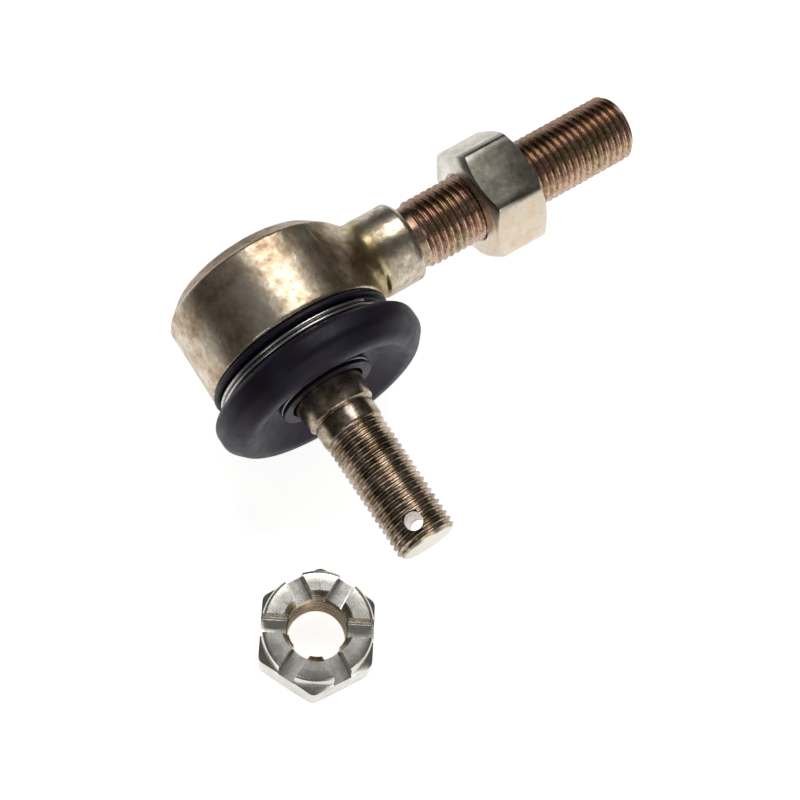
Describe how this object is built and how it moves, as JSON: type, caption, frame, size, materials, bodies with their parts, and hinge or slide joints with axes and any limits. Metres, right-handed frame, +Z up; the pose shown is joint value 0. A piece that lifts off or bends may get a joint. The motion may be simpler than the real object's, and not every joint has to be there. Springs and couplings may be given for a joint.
{
  "type": "tie rod end",
  "caption": "Steering tie rod end: forged ball joint housing with threaded shank and jam nut, booted ball stud with cotter hole, loose castle nut.",
  "frame": {"origin": "centre of the ball, where the shank's axis and the stud's axis cross", "axes": "+X along the shank towards its threaded end, -Y along the stud towards its tip, +Z up from the surface that the part lies on"},
  "size_m": [0.1173, 0.0776, 0.0436],
  "materials": {
    "forged_steel": "forged, yellow zinc chromate",
    "stud_steel": "turned, yellow zinc chromate",
    "nut_zinc": "zinc plated, iridescent",
    "castle_zinc": "zinc plated",
    "spring_steel": "drawn wire, bright",
    "seat_plastic": "moulded acetal",
    "boot_rubber": "moulded rubber"
  },
  "bodies": {
    "housing_group": {"housing": "forged_steel", "end_cap": "forged_steel", "preload_spring": "spring_steel", "upper_ball_seat": "seat_plastic", "lower_ball_seat": "seat_plastic"},
    "boot_group": {"dust_boot": "boot_rubber", "boot_wire_large": "spring_steel"},
    "boot_lip_group": {"boot_wire_small": "spring_steel"},
    "stud_group": {"ball_stud": "stud_steel"},
    "jam_nut_group": {"jam_nut": "nut_zinc"},
    "castle_nut_group": {"castle_nut": "castle_zinc"}
  },
  "joints": [
    {"name": "stud_azimuth", "type": "hinge", "parent": "housing_group", "child": "boot_group", "pos_m": [0, 0, 0], "axis": [0, -1, 0], "continuous": true},
    {"name": "stud_tilt", "type": "hinge", "parent": "boot_group", "child": "boot_lip_group", "pos_m": [0, 0, 0], "axis": [0, 0, 1], "range_deg": [-20, 20], "deforming": ["dust_boot"]},
    {"name": "stud_spin", "type": "hinge", "parent": "boot_lip_group", "child": "stud_group", "pos_m": [0, 0, 0], "axis": [0, -1, 0], "continuous": true},
    {"name": "jam_nut_travel", "type": "slide", "parent": "housing_group", "child": "jam_nut_group", "axis": [1, 0, 0], "range_m": [-0.012, 0.024]},
    {"name": "castle_nut_lift", "type": "slide", "parent": "housing_group", "child": "castle_nut_group", "axis": [0, 0, 1], "range_m": [0, 0.04]}
  ]
}
